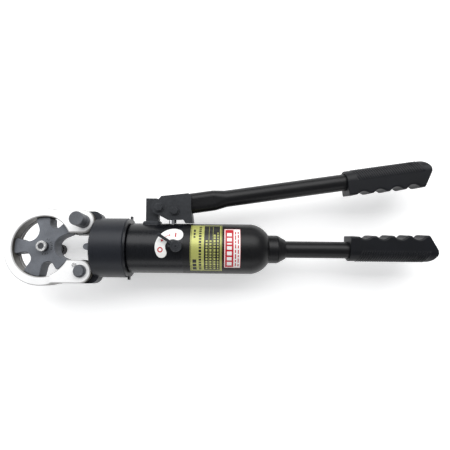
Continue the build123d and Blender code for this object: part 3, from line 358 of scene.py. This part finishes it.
wrapped("caution_strip", row(250.8, 252.2, C0 + 3.0, [5, 3, 6, 4, 5, 3, 6, 4], 1.5)
        + row(254.2, 255.6, C0 + 3.0, [4, 6, 3, 5, 4, 6, 5, 3], 1.5),
        LABEL + LAYER, "red")

# crescent: a two-way arrow, a ring at one end and a bar at the other
CX, CY = 173.1, 3.9                      # centre of the crescent's arc, mm
MID = 16.2                               # radius of its middle line


def spot(radius, angle):
    """A point on the crescent."""
    return (CX + radius * math.cos(math.radians(angle)), CY + radius * math.sin(math.radians(angle)))


def ring_band(r0, r1, a0, a1):
    """A band between two radii."""
    return arc_points(CX, CY, r1, a0, a1) + arc_points(CX, CY, r0, a1, a0)


def arrow_head(angle, way, size):
    """A triangle that points along the arc, way being 1 or -1."""
    half = size * 1.5
    return [spot(MID, angle + way * size * 6), spot(MID + half, angle), spot(MID - half, angle)]


def hoop(x, y, r0, r1):
    """Two half rings that make an O."""
    halves = []
    for a in (0, 180):
        halves.append(arc_points(x, y, r1, a, a + 180, 12) + arc_points(x, y, r0, a + 180, a, 12))
    return halves


ox, oy = spot(MID, 193)
ix, iy = spot(MID, 80)
wrapped("release_marks", [
    ring_band(MID - 0.35, MID + 0.35, 110, 146), arrow_head(147, 1, 1.7), arrow_head(109, -1, 1.0),
    bar(ix - 0.8, ix + 0.8, iy - 3.0, iy + 3.0), *hoop(ox, oy, 2.0, 3.4),
], LABEL, "red")


# ---- dark radial ticks round the axle on the wheel's face --------------------------------------
TICK_Z = 6.62                            # the ticks' height over the wheel's centre, mm
TICK_START = 9.0                         # from the wheel's axis, mm
WIDE, NARROW = (2.0, 0.9), (2.6, 0.5)    # length and width of the two kinds of tick, mm
WIDE_ANGLES = (-98, -74, -20, 8, 34, 72)
NARROW_ANGLES = (-86, -62, -8, 20, 58)


def tick_plate():
    """Short marks that point away from the wheel's axis."""
    verts, faces = [], []
    ticks = [(a, *WIDE) for a in WIDE_ANGLES] + [(a, *NARROW) for a in NARROW_ANGLES]
    for angle, length, width in sorted(ticks):
        a = math.radians(angle)
        u = Vector((math.cos(a), math.sin(a), 0))
        v = Vector((-math.sin(a), math.cos(a), 0))
        near, far, half = TICK_START, TICK_START + length, width / 2
        for p, q in ((near, -half), (far, -half), (far, half), (near, half)):
            corner = u * p + v * q
            verts.append(HEAD @ Vector((corner.x * MM, corner.y * MM, TICK_Z * MM)))
        n = len(verts)
        faces.append([n - 4, n - 3, n - 2, n - 1])
    mesh_piece("wheel_ticks", verts, faces, "ink", "wheel")


tick_plate()

# ---- rubber grips, moulded with soft edges and ribs ---------------------------------------------
HANDLE_GRIP_LENGTH = 114.6               # mm, as the rest here
LEVER_GRIP_LENGTH = 111.0
LEVER_GRIP_START = 206.8                 # along the lever
PLAIN_START, PLAIN_END = 11.5, 12.5      # lengths without ribs at a grip's two ends
UNRIBBED = 27                            # taken off a grip's length before it is shared out
RIB_SPACES = 27                          # between the first rib and the last
RIB_DEPTH = 0.55
RIB_SLANT = math.tan(math.radians(20))
RIB_FROM_R = 12.6                        # the ribs are cut only outside this radius
VOXEL = 0.0006


def softened(source):
    """A copy of a CAD object's mesh with its edges rounded off."""
    work = bpy.data.objects.new("work", source.data.copy())
    bpy.context.scene.collection.objects.link(work)
    work.matrix_world = source.matrix_world.copy()
    remesh = work.modifiers.new("remesh", "REMESH")
    remesh.mode = "VOXEL"
    remesh.voxel_size = VOXEL
    smooth = work.modifiers.new("smooth", "SMOOTH")
    smooth.iterations = 3
    bpy.context.view_layer.update()
    shaped = work.evaluated_get(bpy.context.evaluated_depsgraph_get())
    mesh = bpy.data.meshes.new_from_object(shaped)
    bpy.data.objects.remove(work)
    return mesh


def rubber_grip(name, body, turn, flip, foot, length):
    """A grip made from its CAD shape, with ribs cut into its round side. foot is the point on the
    tube's line where it starts, turn its angle in degrees, and flip -1 where it is upside down."""
    mesh = softened(nodes[name])
    low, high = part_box(name)
    centre_z = (low.z + high.z) / 2
    spin = math.radians(turn)
    along = Vector((math.cos(spin), math.sin(spin), 0))
    up = Vector((-math.sin(spin), math.cos(spin), 0)) * flip
    pitch = (length - UNRIBBED) / RIB_SPACES
    rib_end = length - PLAIN_END
    normals = [v.normal.copy() for v in mesh.vertices]
    for v, n in zip(mesh.vertices, normals):
        rel = v.co - foot
        x, y = rel.dot(along) / MM, rel.dot(up) / MM
        z = (v.co.z - centre_z) / MM
        if math.hypot(y, z) < RIB_FROM_R or not PLAIN_START < x < rib_end:
            continue
        fade = min(max((-y + 0.2) / 1.2, 0), 1)
        fade *= min((x - PLAIN_START) / 1.5, 1) * min((rib_end - x) / 1.5, 1)
        wave = math.cos(2 * math.pi * (x - 13 - (y + 8.5) * RIB_SLANT) / pitch)
        v.co -= n * (RIB_DEPTH * MM * fade * (1 - wave) / 2)
    mesh.materials.clear()
    mesh.materials.append(M["rubber"])
    mesh.shade_smooth()
    grip = bpy.data.objects.new(name + "_rubber", mesh)
    bpy.context.scene.collection.objects.link(grip)
    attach(grip, body)
    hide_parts(name)


lever_spin = math.radians(LEVER_ANGLE)
lever_line = Vector((math.cos(lever_spin), math.sin(lever_spin), 0))
handle_foot = Vector((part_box("handle_grip")[0].x, AXIS_Y, AXIS_Z))
lever_foot = at(*LEVER_START) + lever_line * (LEVER_GRIP_START * MM)
rubber_grip("handle_grip", "pump", 0, 1, handle_foot, HANDLE_GRIP_LENGTH)
rubber_grip("lever_grip", "lever", LEVER_ANGLE, -1, lever_foot, LEVER_GRIP_LENGTH)

# ---- floor, light and camera ------------------------------------------------------------------
floor_mat = surface("pale_floor", srgb(246, 246, 246), srgb(250, 250, 250), 0.0, (0.7, 0.9), 40,
                    (1, 1, 1), 3, 0.02, 0.00002)
floor_shader = floor_mat.node_tree.nodes["Principled BSDF"]
floor_shader.inputs["Emission Color"].default_value = (1, 1, 1, 1)
floor_shader.inputs["Emission Strength"].default_value = 0.35
floor_mesh = bpy.data.meshes.new("floor")
F = 3                                    # half the floor's side, m
floor_mesh.from_pydata([(-F, -F, 0), (F, -F, 0), (F, F, 0), (-F, F, 0)], [], [(0, 1, 2, 3)])
floor_mesh.materials.append(floor_mat)
floor = bpy.data.objects.new("floor", floor_mesh)
bpy.context.scene.collection.objects.link(floor)


def softbox(name, place, target, size, power):
    """A rectangular light at a place, turned towards a target, in metres and watts."""
    light = bpy.data.lights.new(name, "AREA")
    light.shape = "RECTANGLE"
    light.size, light.size_y = size
    light.energy = power
    obj = bpy.data.objects.new(name, light)
    obj.location = place
    obj.rotation_euler = (Vector(target) - Vector(place)).to_track_quat("-Z", "Y").to_euler()
    bpy.context.scene.collection.objects.link(obj)


softbox("key", (0.0, 1.00, 1.10), (0, 0.03, 0.05), (2.8, 1.1), 34)
softbox("fill", (0.0, -1.30, 0.62), (0, 0, 0.05), (2.6, 0.55), 7)
softbox("end", (-1.4, 0.2, 0.9), (-0.1, 0, 0.05), (0.9, 0.9), 5)

world = bpy.data.worlds.new("studio")
world.use_nodes = True
background = world.node_tree.nodes["Background"]
background.inputs["Color"].default_value = (0.95, 0.97, 1.0, 1)
background.inputs["Strength"].default_value = 0.22
bpy.context.scene.world = world

cam = bpy.data.cameras.new("camera")
cam.sensor_width = 36.0
cam.lens = 28.88
cam.shift_x = 0.0044
camera = bpy.data.objects.new("camera", cam)
camera.location = at(235.5, 31.9, 482.7)
camera.rotation_euler = (0, 0, math.radians(0.62))
cam.clip_start = 0.01
bpy.context.scene.collection.objects.link(camera)
bpy.context.scene.camera = camera
bpy.context.scene.view_settings.view_transform = "Standard"
